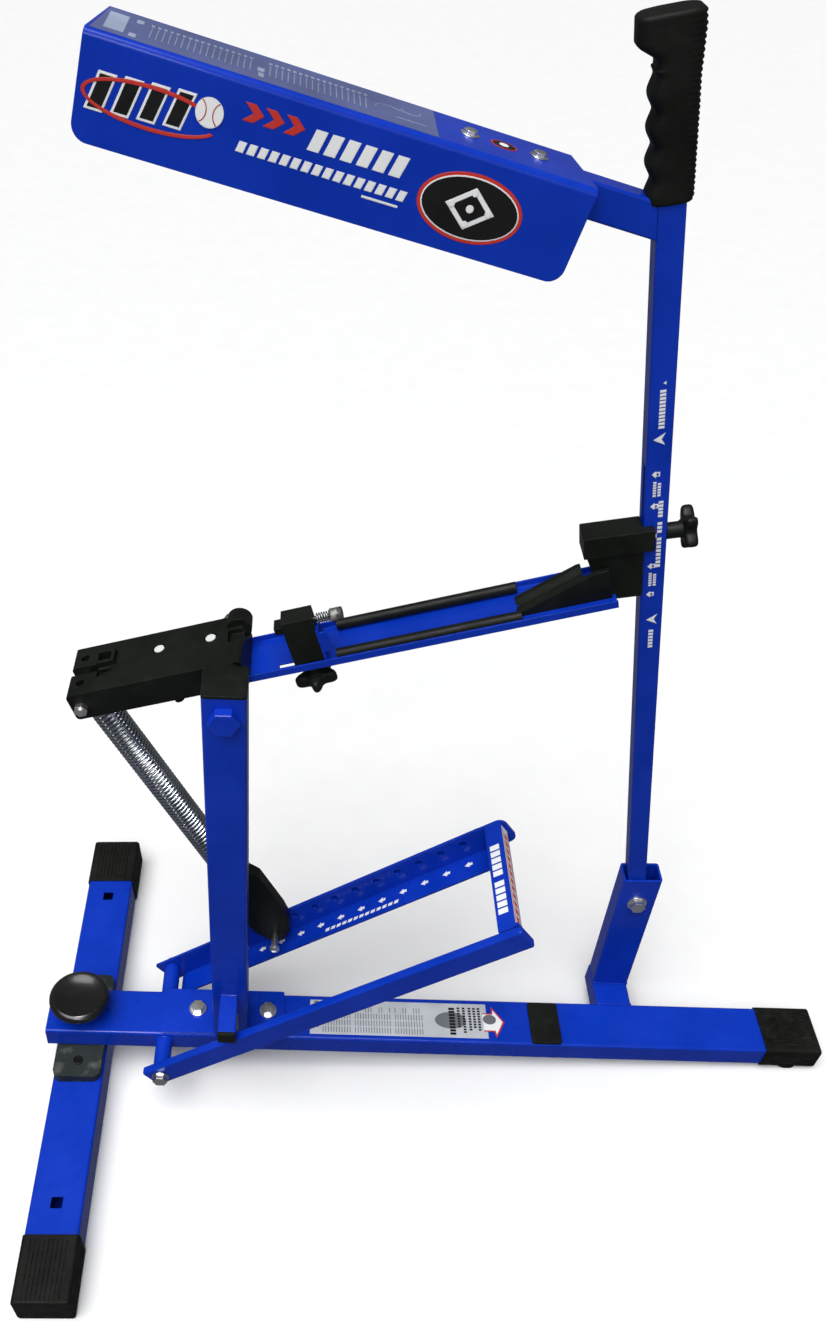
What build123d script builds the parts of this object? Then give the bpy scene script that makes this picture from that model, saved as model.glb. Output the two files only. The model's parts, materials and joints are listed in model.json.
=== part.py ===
from build123d import *
from math import atan2, cos, degrees, hypot, radians, sin
import os

# Baseball pitching machine: a beam on a front crossbar, a post with a sprung throwing arm,
# a release arm with hood and grip, and a foot pedal. Millimetres, +Z up, +X along the beam.
# Parts are drawn in the beam's own frame (beam top at z = 0, near edge at y = 0), then the
# beam is leaned so that its right end cap and the crossbar both stand on the floor.

LEAN = 3.2                      # beam slopes down to its right end, degrees

# beam and crossbar
BEAM_W, BEAM_H, BEAM_WALL = 76.2, 38.1, 3.0
BEAM_X0, BEAM_X1 = -13.0, 1130.0
BEAM_CAP_X0, BEAM_CAP_X1 = 1078.0, 1163.0
CAP_PROUD = 2.2                 # rubber end caps stand this far outside their tube
CAP_WALL_END = 8.0
RIB_PITCH, RIB_DEPTH, RIB_GAP = 6.2, 1.4, 2.6
FOOT_DROP, FOOT_X0, FOOT_X1 = 5.0, 1104.0, 1142.0     # foot under the right end cap
CROSS_X, CROSS_W, CROSS_H = 36.4, 75.0, 50.8
CROSS_Y0, CROSS_Y1 = -371.0, 421.0
CROSS_CAP_L = 90.0
CROSS_HOLES_Y, CROSS_HOLE = (299.0, -236.0), 16.5
SADDLE_T, SADDLE_W, SADDLE_Y0, SADDLE_Y1, SADDLE_R = 16.0, 71.0, -52.0, 128.0, 12.0
SADDLE_SCREW_Y = -26.0
KNOB_Y, KNOB_R, KNOB_TOP, KNOB_STEM_R, STUD_R = 38.1, 45.0, 42.0, 21.0, 5.0

# post and its fittings
POST_X, POST_W, POST_Y0, POST_TOP, POST_WALL = 265.0, 50.8, 0.5, 683.0, 3.0
PLATE_X0, PLATE_X1, PLATE_Y0, PLATE_Y1, PLATE_T = 162.5, 344.5, 2.0, 78.2, 4.0
MOUNT_BOLT_X, MOUNT_BOLT_Y = (213.0, 320.0), 43.0
STUB_X, STUB_W, STUB_Z0, STUB_Z1, STUB_L, STUB_PLUG = 264.3, 25.4, 89.2, 109.2, 60.0, 5.0
PAD_X0, PAD_X1, PAD_Y0, PAD_Y1, PAD_T = 721.0, 766.0, 1.0, 71.0, 5.0
CLEAR = 0.35                    # radial gap of a pin in another body's hole

# throwing arm, frame at its pivot, x along the arm
ARM_X, ARM_Z, ARM_TILT, ARM_Y = 265.0, 653.0, 17.5, 119.0
ARM_PIN_R = 8.0
CRANK_U0, CRANK_U1, CRANK_V0, CRANK_V1, CRANK_W = -196.5, 20.0, -22.0, 16.2, 86.0
CHAN_FORK_U, CHAN_FORK_Y0, CHAN_FORK_Y1 = 410.5, 105.5, 140.0
EAR_SLOT_W, EAR_SLOT_U1 = 14.0, -160.0
SPRING_PIN_U, SPRING_PIN_V, SPRING_PIN_R = -184.5, -4.7, 5.0
CRANK_RIVET_U = (-84.5, -20.0)
CHAN_U0, CHAN_U1, CHAN_W, CHAN_T, CHAN_H = -60.0, 442.0, 71.5, 2.0, 9.2
ROD_R, ROD_U0, ROD_U1, ROD_DY = 6.5, 126.0, 338.0, 26.8
RAMP_U0, RAMP_U1, RAMP_Y0, RAMP_Y1 = 334.0, 410.5, 106.0, 132.0
RAMP_LOW, RAMP_HIGH, RAMP_GROOVE = -18.0, 9.0, 5.0
CHEEK_Y0, CHEEK_Y1, CHEEK_U1, CHEEK_HIGH_U = 99.5, 105.4, 438.0, 424.0
# ball stop on the channel
STOP_U0, STOP_U1, STOP_Y0, STOP_Y1, STOP_TOP = 75.5, 111.0, 87.0, 112.0, 45.5
STOP_KNOB_U, STOP_KNOB_Y, STOP_STUD_R, STOP_SLIDE = 93.0, 99.0, 3.0, 35.0
TAB_U1, TAB_TOP = 122.0, 26.0
ADJ_Y, ADJ_V, ADJ_HEAD_R, ADJ_HEAD_U0, ADJ_HEAD_U1 = 99.5, 35.0, 8.0, 131.0, 145.0

# release arm, frame at its pivot, z along the arm
REL_X, REL_Z, REL_TILT, REL_Y, REL_W, REL_WALL = 852.0, 208.0, 11.66, 130.0, 25.4, 2.0
REL_BOTTOM, REL_TOP = -36.0, 1098.0
BRACKET_W, BRACKET_D, BRACKET_WALL, BRACKET_TOP, BRACKET_LEAN = 55.0, 34.0, 3.0, 257.0, 1.9
REL_BOLT_R = 6.0
BASE_X, BASE_W = 858.9, 54.0
BLOCK_N0, BLOCK_L0, BLOCK_L1, BLOCK_SLIDE = -77.0, 627.5, 653.3, 80.0
BLOCK_Y0, BLOCK_Y1, BLOCK_CHEEK_N1 = 107.0, 138.5, -2.0
LEG_L0, LEG_N_TOP, LEG_N_LOW, LEG_Y0 = 566.0, -74.0, -56.0, 111.0
RKNOB_L, RKNOB_STUD_R, RKNOB_R, RKNOB_Y = 638.0, 5.0, 25.0, 126.0
GRIP_L0, GRIP_L1 = 983.0, 1131.0
# hood, frame at its top right corner, x along it
HOOD_X, HOOD_Z, HOOD_TILT, HOOD_L, HOOD_H, HOOD_W, HOOD_T = 581.0, 1190.0, 13.8, 432.0, 82.5, 83.0, 2.0
HOOD_SKEW_L, HOOD_SKEW_R = 11.0, 14.0   # how much shorter the hood is along its far edge
HOOD_ARM_L0, HOOD_ARM_H, HOOD_BOLT_X = -138.0, 31.0, (-112.0, -49.0)

# pedal, frame at its pivot, x along the rails
PED_X, PED_Z, PED_TILT = 165.0, -19.0, 36.93
PED_BOLT_R, PED_TUBE_R, PED_TUBE_Y0, PED_TUBE_Y1 = 6.0, 12.5, -45.5, 131.5
RAIL_S0, RAIL_S1, RAIL_TOP, LIP_UP = -20.0, 605.0, 18.5, 7.0
FAR_Y0, FAR_Y1, FAR_FOOT_Y, FAR_T, FAR_BOTTOM, FAR_S1 = 132.0, 136.0, 96.0, 4.0, -28.0, 602.0
BACK_S0, BACK_S1, BACK_Y1, BACK_P0, BACK_P1, HOLE_Y1 = 140.0, 560.0, 145.0, -6.0, 9.4, 142.0
NEAR_Y0, NEAR_Y1, NEAR_BOTTOM = -58.7, -46.0, -19.5
HOLE_S, HOLE_W, HOLE_PITCH, HOLE_COUNT, HOLE_R, PIN_INDEX = 205.2, 3.4, 36.2, 11, 5.4, 1
STEP_S0, STEP_S1, STEP_TOP, STEP_T, STEP_DROP = 573.0, 597.0, 18.5, 3.0, 22.0

# spring and yoke, frame at the yoke pin, z along the spring
YOKE_Y0, YOKE_Y1, YOKE_TOP, YOKE_PIN_R = 110.0, 128.0, 150.0, 5.0
SPRING_R, SPRING_BORE, SPRING_TOP_GAP = 19.5, 14.6, 25.0
PIN_Y0, PIN_Y1, PIN_PULL = 88.5, 136.5, 4.8


def block(x0, x1, y0, y1, z0, z1):
    return Pos((x0 + x1) / 2, (y0 + y1) / 2, (z0 + z1) / 2) * Box(x1 - x0, y1 - y0, z1 - z0)


def rod_y(x, z, r, y0, y1):
    return Pos(x, (y0 + y1) / 2, z) * Rot(90, 0, 0) * Cylinder(r, y1 - y0)


def rod_x(y, z, r, x0, x1):
    return Pos((x0 + x1) / 2, y, z) * Rot(0, 90, 0) * Cylinder(r, x1 - x0)


def rod_z(x, y, r, z0, z1):
    return Pos(x, y, (z0 + z1) / 2) * Cylinder(r, z1 - z0)


def rounded(x0, x1, y0, y1, z0, z1, axis, r):
    return fillet(block(x0, x1, y0, y1, z0, z1).edges().filter_by(axis), r)


def hex_y(x, z, flats, y0, y1):
    return Pos(x, y0, z) * Rot(-90, 0, 0) * extrude(RegularPolygon(flats / 3 ** 0.5, 6), y1 - y0)


def hex_z(x, y, flats, z0, z1):
    return Pos(x, y, z0) * extrude(RegularPolygon(flats / 3 ** 0.5, 6), z1 - z0)


def square_tube(x0, x1, y0, y1, z0, z1, axis, wall, r):
    """Hollow rectangular tube, open at both ends along axis."""
    big = 5.0
    inner = {
        Axis.X: (x0 - big, x1 + big, y0 + wall, y1 - wall, z0 + wall, z1 - wall),
        Axis.Y: (x0 + wall, x1 - wall, y0 - big, y1 + big, z0 + wall, z1 - wall),
        Axis.Z: (x0 + wall, x1 - wall, y0 + wall, y1 - wall, z0 - big, z1 + big),
    }[axis]
    return rounded(x0, x1, y0, y1, z0, z1, axis, r) - block(*inner)


def star(r, lobes, t):
    """Star knob head on the XY plane, t thick, with round lobes stepped in at both faces."""
    head = Cylinder(0.62 * r, t)
    for i in range(lobes):
        place = Rot(0, 0, 360 * i / lobes) * Pos(0.72 * r, 0, 0)
        head += place * Cylinder(0.28 * r, t - 4)
        head += place * Cylinder(0.23 * r, t)
    return head


def ribbed_cap(length, w, h, tube_end):
    """Rubber cap along +X, closed at x = length, ribs run along its length."""
    cap = rounded(0, length, -w / 2, w / 2, -h / 2, h / 2, Axis.X, 6)
    cap = fillet(cap.faces().sort_by(Axis.X)[-1].edges(), 3)
    cap -= rounded(-1, tube_end, -w / 2 + CAP_PROUD, w / 2 - CAP_PROUD,
                   -h / 2 + CAP_PROUD, h / 2 - CAP_PROUD, Axis.X, 4)
    n = int((w - 18) / RIB_PITCH)
    for i in range(n):
        y = (i - (n - 1) / 2) * RIB_PITCH
        cap -= block(6, length - 5, y - RIB_GAP / 2, y + RIB_GAP / 2, h / 2 - RIB_DEPTH, h)
    n = int((h - 14) / RIB_PITCH)
    for i in range(n):
        z = (i - (n - 1) / 2) * RIB_PITCH
        for side in (-1, 1):
            y0, y1 = sorted((side * (w / 2 - RIB_DEPTH), side * w))
            cap -= block(6, length - 5, y0, y1, z - RIB_GAP / 2, z + RIB_GAP / 2)
    return cap


def polygon_y(points, y0, y1):
    """Prism along Y from (x, z) points."""
    face = make_face(Polyline(*[(x, 0, z) for x, z in points], close=True))
    return Pos(0, y0, 0) * extrude(face, y1 - y0, dir=(0, 1, 0))


# ---- frames -------------------------------------------------------------------------------
ARM = Pos(ARM_X, 0, ARM_Z) * Rot(0, -ARM_TILT, 0)
RELEASE = Pos(REL_X, 0, REL_Z) * Rot(0, -REL_TILT, 0)
HOOD = Pos(HOOD_X, 0, HOOD_Z) * Rot(0, HOOD_TILT, 0)
PEDAL = Pos(PED_X, 0, PED_Z) * Rot(0, -PED_TILT, 0)


def at(frame, x, y, z):
    return (frame * Pos(x, y, z)).position


P1 = at(ARM, SPRING_PIN_U, ARM_Y, SPRING_PIN_V)
P2 = at(PEDAL, HOLE_S, ARM_Y, HOLE_W)
SPRING_SPAN = hypot(P1.X - P2.X, P1.Z - P2.Z)
SPRING = Pos(P2.X, 0, P2.Z) * Rot(0, degrees(atan2(P1.X - P2.X, P1.Z - P2.Z)), 0)
SADDLE_TOP = at(Rot(0, LEAN, 0), CROSS_X, 0, -BEAM_H)
CROSS_TOP = SADDLE_TOP.Z - SADDLE_T
BEAM = Rot(0, LEAN, 0)

parts, level = {}, {}           # level holds the pieces that are square to the floor

# ---- base ---------------------------------------------------------------------------------
beam = square_tube(BEAM_X0, BEAM_X1, 0, BEAM_W, -BEAM_H, 0, Axis.X, BEAM_WALL, 4)
beam -= rod_y(PED_X, PED_Z, PED_TUBE_R, -10, BEAM_W + 10)
beam -= rod_z(CROSS_X, KNOB_Y, STUD_R + CLEAR, -60, 20)
parts["main_beam"] = beam

cap = ribbed_cap(BEAM_CAP_X1 - BEAM_CAP_X0, BEAM_W + 2 * CAP_PROUD, BEAM_H + 2 * CAP_PROUD,
                 BEAM_X1 - BEAM_CAP_X0)
cap = Pos(BEAM_CAP_X0, BEAM_W / 2, -BEAM_H / 2) * cap
cap += rounded(FOOT_X0, FOOT_X1, -1, BEAM_W + 1, -BEAM_H - CAP_PROUD - FOOT_DROP,
               -BEAM_H - CAP_PROUD + 0.5, Axis.Z, 17)
parts["beam_end_cap"] = cap

cx0, cx1 = SADDLE_TOP.X - CROSS_W / 2, SADDLE_TOP.X + CROSS_W / 2
cz0 = CROSS_TOP - CROSS_H
cross = square_tube(cx0, cx1, CROSS_Y0 + CAP_WALL_END, CROSS_Y1 - CAP_WALL_END, cz0, CROSS_TOP,
                    Axis.Y, BEAM_WALL, 4)
for y in CROSS_HOLES_Y:
    cross -= block(SADDLE_TOP.X - CROSS_HOLE / 2, SADDLE_TOP.X + CROSS_HOLE / 2,
                   y - CROSS_HOLE / 2, y + CROSS_HOLE / 2, CROSS_TOP - 6, CROSS_TOP + 6)
stud_bottom = -BEAM_H - SADDLE_T - 14
stud_hole = BEAM * rod_z(CROSS_X, KNOB_Y, STUD_R + CLEAR, -100, 10)
level["crossbar"] = cross - stud_hole
for name, y_open, turn in (("crossbar_cap_near", CROSS_Y0 + CROSS_CAP_L, -90),
                           ("crossbar_cap_far", CROSS_Y1 - CROSS_CAP_L, 90)):
    shape = ribbed_cap(CROSS_CAP_L, CROSS_W + 2 * CAP_PROUD, CROSS_H + 2 * CAP_PROUD,
                       CROSS_CAP_L - CAP_WALL_END)
    level[name] = Pos(SADDLE_TOP.X, y_open, CROSS_TOP - CROSS_H / 2) * Rot(0, 0, turn) * shape

saddle = rounded(CROSS_X - SADDLE_W / 2, CROSS_X + SADDLE_W / 2, SADDLE_Y0, SADDLE_Y1,
                 -BEAM_H - SADDLE_T - 8, -BEAM_H, Axis.Z, SADDLE_R)
saddle -= rod_z(CROSS_X, KNOB_Y, STUD_R + CLEAR, -90, 10)
screw_z0 = -BEAM_H - 10
saddle -= rod_z(CROSS_X, SADDLE_SCREW_Y, 4, screw_z0, 0)
under = block(-200, 300, -200, 300, CROSS_TOP - 80, CROSS_TOP)
level["saddle_plate"] = (BEAM * saddle) - under
screw = rod_z(CROSS_X, SADDLE_SCREW_Y, 4, screw_z0, -BEAM_H - 1)
screw += rod_z(CROSS_X, SADDLE_SCREW_Y, 7, -BEAM_H, -BEAM_H + 3)
screw += rod_z(CROSS_X, SADDLE_SCREW_Y, 4, -BEAM_H - 2, -BEAM_H + 1)
parts["saddle_screw"] = screw

knob_profile = make_face(Polyline(
    (0, 0, 0.6), (KNOB_STEM_R, 0, 0.6), (KNOB_STEM_R, 0, 14), (26, 0, 21), (KNOB_R - 3, 0, 26),
    (KNOB_R, 0, 30), (KNOB_R, 0, 36), (KNOB_R - 4, 0, 41), (KNOB_R - 8, 0, KNOB_TOP),
    (KNOB_R - 13, 0, 39.5), (18, 0, 37.2), (0, 0, 36.6), close=True))
knob = Pos(CROSS_X, KNOB_Y, 0) * revolve(knob_profile, Axis.Z)
knob += rod_z(CROSS_X, KNOB_Y, STUD_R, stud_bottom, 2)
parts["crossbar_knob"] = knob

plate = rounded(PLATE_X0, PLATE_X1, PLATE_Y0, PLATE_Y1, 0, PLATE_T, Axis.Z, 3)
parts["mount_plate"] = plate
bolts, washers = [], []
for x in MOUNT_BOLT_X:
    washers.append(rod_z(x, MOUNT_BOLT_Y, 13, PLATE_T, PLATE_T + 2.2))
    bolts.append(hex_z(x, MOUNT_BOLT_Y, 18, PLATE_T + 2.2, PLATE_T + 10.2))
parts["mount_bolts"] = Compound(children=bolts)
parts["mount_washers"] = Compound(children=washers)

px0, px1, py1 = POST_X - POST_W / 2, POST_X + POST_W / 2, POST_Y0 + POST_W
post = square_tube(px0, px1, POST_Y0, py1, PLATE_T, POST_TOP, Axis.Z, POST_WALL, 4)
post -= rod_y(ARM_X, ARM_Z, ARM_PIN_R, -20, 80)
parts["post"] = post
cap = rounded(px0 - 0.3, px1 + 0.3, POST_Y0 - 0.3, py1 + 0.3, POST_TOP, POST_TOP + 4, Axis.Z, 5)
cap += block(px0 + 6, px1 - 6, POST_Y0 + 6, py1 - 6, POST_TOP - 12, POST_TOP + 1)
parts["post_cap"] = cap

sx0, sx1, stub_y = STUB_X - STUB_W / 2, STUB_X + STUB_W / 2, POST_Y0 - STUB_L
parts["pedal_stop_stub"] = square_tube(sx0, sx1, stub_y, POST_Y0, STUB_Z0, STUB_Z1, Axis.Y, 2, 2.5)
plug = rounded(sx0, sx1, stub_y - STUB_PLUG, stub_y, STUB_Z0, STUB_Z1, Axis.Y, 2.5)
plug += block(sx0 + 4, sx1 - 4, stub_y - 1, stub_y + 8, STUB_Z0 + 4, STUB_Z1 - 4)
parts["stub_plug"] = plug
parts["stop_pad"] = rounded(PAD_X0, PAD_X1, PAD_Y0, PAD_Y1, 0, PAD_T, Axis.Z, 4)

bolt_head = fillet(hex_y(ARM_X, ARM_Z, 32, POST_Y0 - 12, POST_Y0).faces().sort_by(Axis.Y)[0].edges(), 2)
arm_pin = bolt_head + rod_y(ARM_X, ARM_Z, ARM_PIN_R, POST_Y0 - 4, 178)
parts["arm_pivot_bolt"] = arm_pin
parts["arm_pivot_spacer"] = rod_y(ARM_X, ARM_Z, 19, py1, ARM_Y - CRANK_W / 2 - 0.6) - rod_y(
    ARM_X, ARM_Z, ARM_PIN_R, 40, 90)
parts["arm_pivot_nut"] = hex_y(ARM_X, ARM_Z, 24, ARM_Y + CRANK_W / 2 + 2.6, 173) - rod_y(
    ARM_X, ARM_Z, ARM_PIN_R, 150, 190)
parts["arm_pivot_washer"] = rod_y(ARM_X, ARM_Z, 16, ARM_Y + CRANK_W / 2 + 0.5,
                                  ARM_Y + CRANK_W / 2 + 2.6) - rod_y(ARM_X, ARM_Z, ARM_PIN_R, 150, 190)

bx0, bx1 = BASE_X - BASE_W / 2, BASE_X + BASE_W / 2
by0, by1 = REL_Y - BRACKET_D / 2, REL_Y + BRACKET_D / 2
parts["bracket_base"] = square_tube(bx0, bx1, BEAM_W, by1 + 2, -BEAM_H, 0, Axis.Y, BEAM_WALL, 4)
bracket = square_tube(-BRACKET_W / 2, BRACKET_W / 2, by0, by1, -5, BRACKET_TOP, Axis.Z, BRACKET_WALL, 4)
bracket = Pos(BASE_X, 0, 0) * Rot(0, -BRACKET_LEAN, 0) * bracket - block(800, 900, 100, 160, -10, 0)
parts["release_bracket"] = bracket - rod_y(REL_X, REL_Z, REL_BOLT_R, 90, 170)
rel_bolt = rod_y(REL_X, REL_Z, REL_BOLT_R, by0 - 5, by1 + 12)
rel_bolt += hex_y(REL_X, REL_Z, 19, by0 - 11, by0 - 2.5)
parts["release_bolt"] = rel_bolt
rel_hole = rod_y(REL_X, REL_Z, REL_BOLT_R, 90, 170)
parts["release_washers"] = Compound(children=[
    rod_y(REL_X, REL_Z, 14, by0 - 2.5, by0) - rel_hole,
    rod_y(REL_X, REL_Z, 14, by1, by1 + 2.5) - rel_hole])
parts["release_nut"] = hex_y(REL_X, REL_Z, 19, by1 + 2.5, by1 + 11) - rel_hole

parts["pedal_pivot_tube"] = rod_y(PED_X, PED_Z, PED_TUBE_R, PED_TUBE_Y0, PED_TUBE_Y1) - rod_y(
    PED_X, PED_Z, PED_BOLT_R, -100, 200)
ped_bolt = rod_y(PED_X, PED_Z, PED_BOLT_R, NEAR_Y0 - 8, FAR_Y1 + 12)
ped_bolt += rod_y(PED_X, PED_Z, 12.5, NEAR_Y0 - 2.3, NEAR_Y0 - 0.4)
ped_bolt += hex_y(PED_X, PED_Z, 19, NEAR_Y0 - 10, NEAR_Y0 - 2)
parts["pedal_bolt"] = ped_bolt
parts["pedal_nut"] = hex_y(PED_X, PED_Z, 19, FAR_Y1 + 0.5, FAR_Y1 + 9) - rod_y(
    PED_X, PED_Z, PED_BOLT_R, 100, 200)

# ---- throwing arm -------------------------------------------------------------------------
ay0, ay1 = ARM_Y - CRANK_W / 2, ARM_Y + CRANK_W / 2
fy0, fy1 = ARM_Y - CHAN_W / 2, ARM_Y + CHAN_W / 2
floor = CRANK_V0
channel = block(CHAN_U0, CHAN_U1, fy0, fy1, floor - CHAN_T, floor)
channel -= block(CHAN_FORK_U, CHAN_U1 + 1, CHAN_FORK_Y0, CHAN_FORK_Y1, floor - 10, floor + 10)
for y in (fy0, fy1 - CHAN_T):
    channel += block(CHAN_U0, CHAN_U1, y, y + CHAN_T, floor - CHAN_T, floor - CHAN_T + CHAN_H)
crank = rounded(CRANK_U0, CRANK_U1, ay0, ay1, CRANK_V0, CRANK_V1, Axis.Y, 5)
crank -= channel
crank += rod_y(14, 12, 15, ay1 - 22, ay1)
crank -= block(2, 30, ay1 - 48, ay1 - 25, 9, 60)
crank += rod_z(-72, ay0 + 14, 6, -33, CRANK_V0 + 1)
crank += block(-162, -138, ARM_Y - 2, ARM_Y + 21, CRANK_V1 - 1, CRANK_V1 + 8)
crank -= block(-158, -142, ARM_Y + 2, ARM_Y + 17, CRANK_V1 - 4, 60)
crank -= block(-161, -143, ay0 + 26, ARM_Y - 5, CRANK_V1 - 6, 60)
for y in (ay0 + 21, ay1 - 20):
    crank -= rod_z(CRANK_U0 + 16, y, 5.5, CRANK_V1 - 8, 60)
crank -= block(CRANK_U0 - 1, EAR_SLOT_U1, ARM_Y - EAR_SLOT_W / 2, ARM_Y + EAR_SLOT_W / 2, -60, 60)
crank -= rod_y(0, 0, ARM_PIN_R + CLEAR, ay0 - 1, ay1 + 1)
crank -= rod_y(SPRING_PIN_U, SPRING_PIN_V, SPRING_PIN_R, ay0 - 1, ay1 + 1)
rivets = []
for u in CRANK_RIVET_U:
    crank -= rod_z(u, ARM_Y + 12, 8, CRANK_V1 - 3, CRANK_V1 + 30)
    crank -= rod_z(u, ARM_Y + 12, 5, CRANK_V0 - 1, CRANK_V1 + 30)
    rivets.append(rod_z(u, ARM_Y + 12, 6.2, CRANK_V1 - 3, CRANK_V1 - 0.5) + rod_z(
        u, ARM_Y + 12, 5, CRANK_V0 + 4, CRANK_V1 - 2))
parts["crank_block"] = ARM * crank
parts["crank_rivets"] = ARM * Compound(children=rivets)
spring_pin = rod_y(SPRING_PIN_U, SPRING_PIN_V, SPRING_PIN_R, ay0 - 9, ay1 + 9)
spring_pin += hex_y(SPRING_PIN_U, SPRING_PIN_V, 15, ay0 - 7, ay0)
spring_pin += hex_y(SPRING_PIN_U, SPRING_PIN_V, 15, ay1, ay1 + 7)
parts["spring_pin"] = ARM * spring_pin
slot_u0 = STOP_KNOB_U - STOP_SLIDE - STOP_STUD_R - CLEAR
channel -= block(slot_u0, STOP_KNOB_U + STOP_STUD_R + CLEAR, STOP_KNOB_Y - STOP_STUD_R - CLEAR,
                 STOP_KNOB_Y + STOP_STUD_R + CLEAR, -60, 0)
parts["arm_channel"] = ARM * channel
parts["ball_rods"] = ARM * Compound(children=[
    rod_x(ARM_Y + dy, floor + ROD_R, ROD_R, ROD_U0, ROD_U1) for dy in (-ROD_DY, ROD_DY)])
ramp = polygon_y([(RAMP_U0, floor), (RAMP_U1, floor), (RAMP_U1, RAMP_HIGH), (RAMP_U1 - 4, RAMP_HIGH),
                  (RAMP_U0, RAMP_LOW)], RAMP_Y0, RAMP_Y1)
rise = degrees(atan2(RAMP_HIGH - RAMP_LOW, RAMP_U1 - 4 - RAMP_U0))
groove = Rot(45, 0, 0) * Box(260, 2 * RAMP_GROOVE, 2 * RAMP_GROOVE)
ramp -= Pos(RAMP_U0, (RAMP_Y0 + RAMP_Y1) / 2, RAMP_LOW + 1) * Rot(0, -rise, 0) * groove
cheek_high = RAMP_LOW + (CHEEK_HIGH_U - RAMP_U0) * (RAMP_HIGH - RAMP_LOW) / (RAMP_U1 - 4 - RAMP_U0)
ramp += polygon_y([(RAMP_U0, floor), (CHEEK_U1, floor), (CHEEK_U1, cheek_high),
                   (CHEEK_HIGH_U, cheek_high), (RAMP_U0, RAMP_LOW)], CHEEK_Y0, CHEEK_Y1)
ramp += block(RAMP_U0 + 4, RAMP_U1 - 4, CHEEK_Y1 - 1, RAMP_Y0 + 1, floor, RAMP_LOW + 1)
parts["arm_ramp"] = ARM * ramp

stop = block(STOP_U0, STOP_U1, STOP_Y0, STOP_Y1, floor, STOP_TOP)
stop += block(STOP_U0, STOP_U1, STOP_Y1 - 1, ARM_Y + 14, floor, floor + 16)
stop += block(STOP_U0 - 11, STOP_U0 + 1, STOP_Y0 + 8, STOP_Y1, 26, 35)
stop = Pos(0, 0, 0.2) * stop
stop -= rod_z(STOP_KNOB_U, STOP_KNOB_Y, STOP_STUD_R + CLEAR, -60, floor + 12)
stop -= rod_x(ADJ_Y, ADJ_V, 3 + CLEAR, STOP_U1 - 20, STOP_U1 + 20)
parts["ball_stop"] = ARM * stop
tab = block(STOP_U1, STOP_U1 + 3, STOP_Y0, STOP_Y1, floor + 0.2, TAB_TOP)
tab += block(STOP_U1, TAB_U1, STOP_Y0, STOP_Y0 + 2.5, floor + 17, TAB_TOP - 3)
parts["ball_stop_tab"] = ARM * tab
parts["adjust_screw"] = ARM * (rod_x(ADJ_Y, ADJ_V, 3, STOP_U1 - 18, ADJ_HEAD_U0 + 1) + rod_x(
    ADJ_Y, ADJ_V, ADJ_HEAD_R, ADJ_HEAD_U0, ADJ_HEAD_U1))
parts["adjust_spring"] = ARM * (rod_x(ADJ_Y, ADJ_V, 5, STOP_U1 + 3.2, ADJ_HEAD_U0 - 0.4) - rod_x(
    ADJ_Y, ADJ_V, 3.6, STOP_U1, ADJ_HEAD_U0 + 2))
stop_knob = Pos(STOP_KNOB_U, STOP_KNOB_Y, CRANK_V0 - 24) * star(23, 5, 16)
stop_knob += rod_z(STOP_KNOB_U, STOP_KNOB_Y, 9, CRANK_V0 - 20, floor - CHAN_T - 0.4)
stop_knob += rod_z(STOP_KNOB_U, STOP_KNOB_Y, STOP_STUD_R, CRANK_V0 - 6, floor + 10)
parts["ball_stop_knob"] = ARM * stop_knob

# ---- release arm --------------------------------------------------------------------------
half = REL_W / 2
tube = square_tube(-half, half, REL_Y - half, REL_Y + half, REL_BOTTOM, REL_TOP, Axis.Z, REL_WALL, 2.5)
tube -= rod_y(0, 0, REL_BOLT_R + CLEAR, 100, 160)
tube -= block(-40, 40, RKNOB_Y - RKNOB_STUD_R - 0.5, RKNOB_Y + RKNOB_STUD_R + 0.5,
              RKNOB_L - RKNOB_STUD_R - 1, RKNOB_L + BLOCK_SLIDE + RKNOB_STUD_R + 1)
parts["release_tube"] = RELEASE * tube

gap = 0.3
rblock = block(BLOCK_N0, -half - gap, BLOCK_Y0, BLOCK_Y1, BLOCK_L0, BLOCK_L1)
rblock = fillet(rblock.edges().filter_by(Axis.Y), 1.5)
rblock += polygon_y([(LEG_N_TOP, BLOCK_L0 + 1), (-half - gap, BLOCK_L0 + 1), (-half - gap, LEG_L0),
                     (LEG_N_LOW, LEG_L0)], LEG_Y0, BLOCK_Y1)
rblock += block(-half - 4, BLOCK_CHEEK_N1, BLOCK_Y0, REL_Y - half - CLEAR, BLOCK_L0, BLOCK_L1)
rblock -= rod_x(RKNOB_Y, RKNOB_L, RKNOB_STUD_R + CLEAR, -34, 0)
parts["release_block"] = RELEASE * rblock
rknob = Pos(36.5, RKNOB_Y, RKNOB_L) * Rot(0, 90, 0) * star(RKNOB_R, 5, 13)
rknob += rod_x(RKNOB_Y, RKNOB_L, 9, half + gap, 31)
rknob += rod_x(RKNOB_Y, RKNOB_L, RKNOB_STUD_R, -32, 20)
parts["release_knob"] = RELEASE * rknob

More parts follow.
